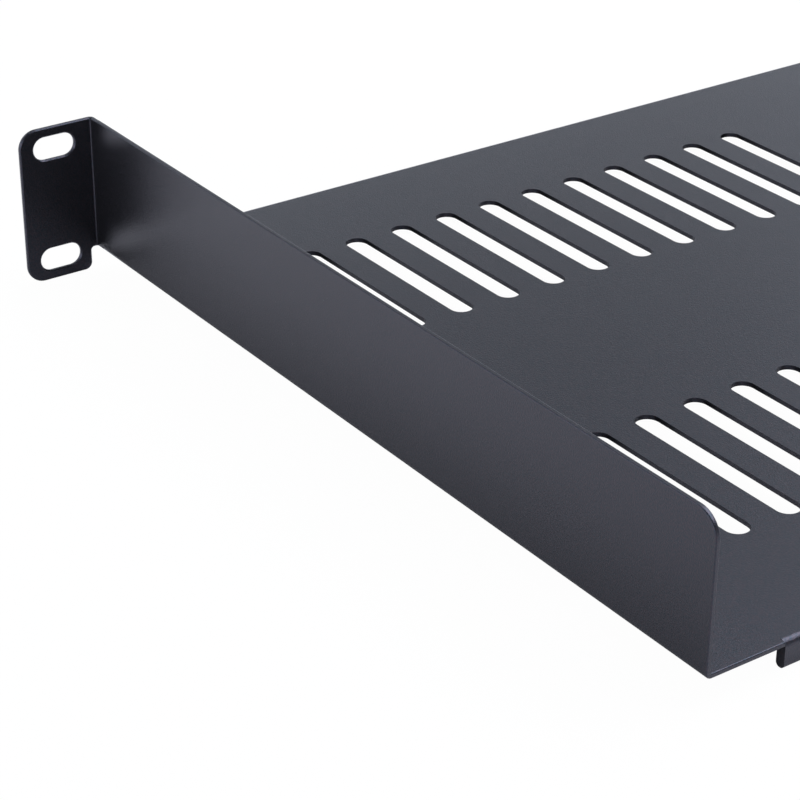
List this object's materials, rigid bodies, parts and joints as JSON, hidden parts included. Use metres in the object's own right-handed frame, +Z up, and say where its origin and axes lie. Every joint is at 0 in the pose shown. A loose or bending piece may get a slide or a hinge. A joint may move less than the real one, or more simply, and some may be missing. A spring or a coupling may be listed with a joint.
{
  "type": "vented rack shelf",
  "caption": "One-unit cantilever rack shelf folded from one sheet: vented floor with slot rows, low side walls, slotted front ears and hemmed lips turned down at the front and rear.",
  "frame": {"origin": "under the middle of the shelf, level with the lower edges of its ears", "axes": "+X to the right seen from the front of the rack, +Y to the rear of the rack, +Z up"},
  "size_m": [0.4852, 0.25, 0.0433],
  "materials": {
    "powder_coat": "fine-textured satin powder coat, near black"
  },
  "bodies": {
    "root": {"shelf": "powder_coat"}
  },
  "joints": []
}
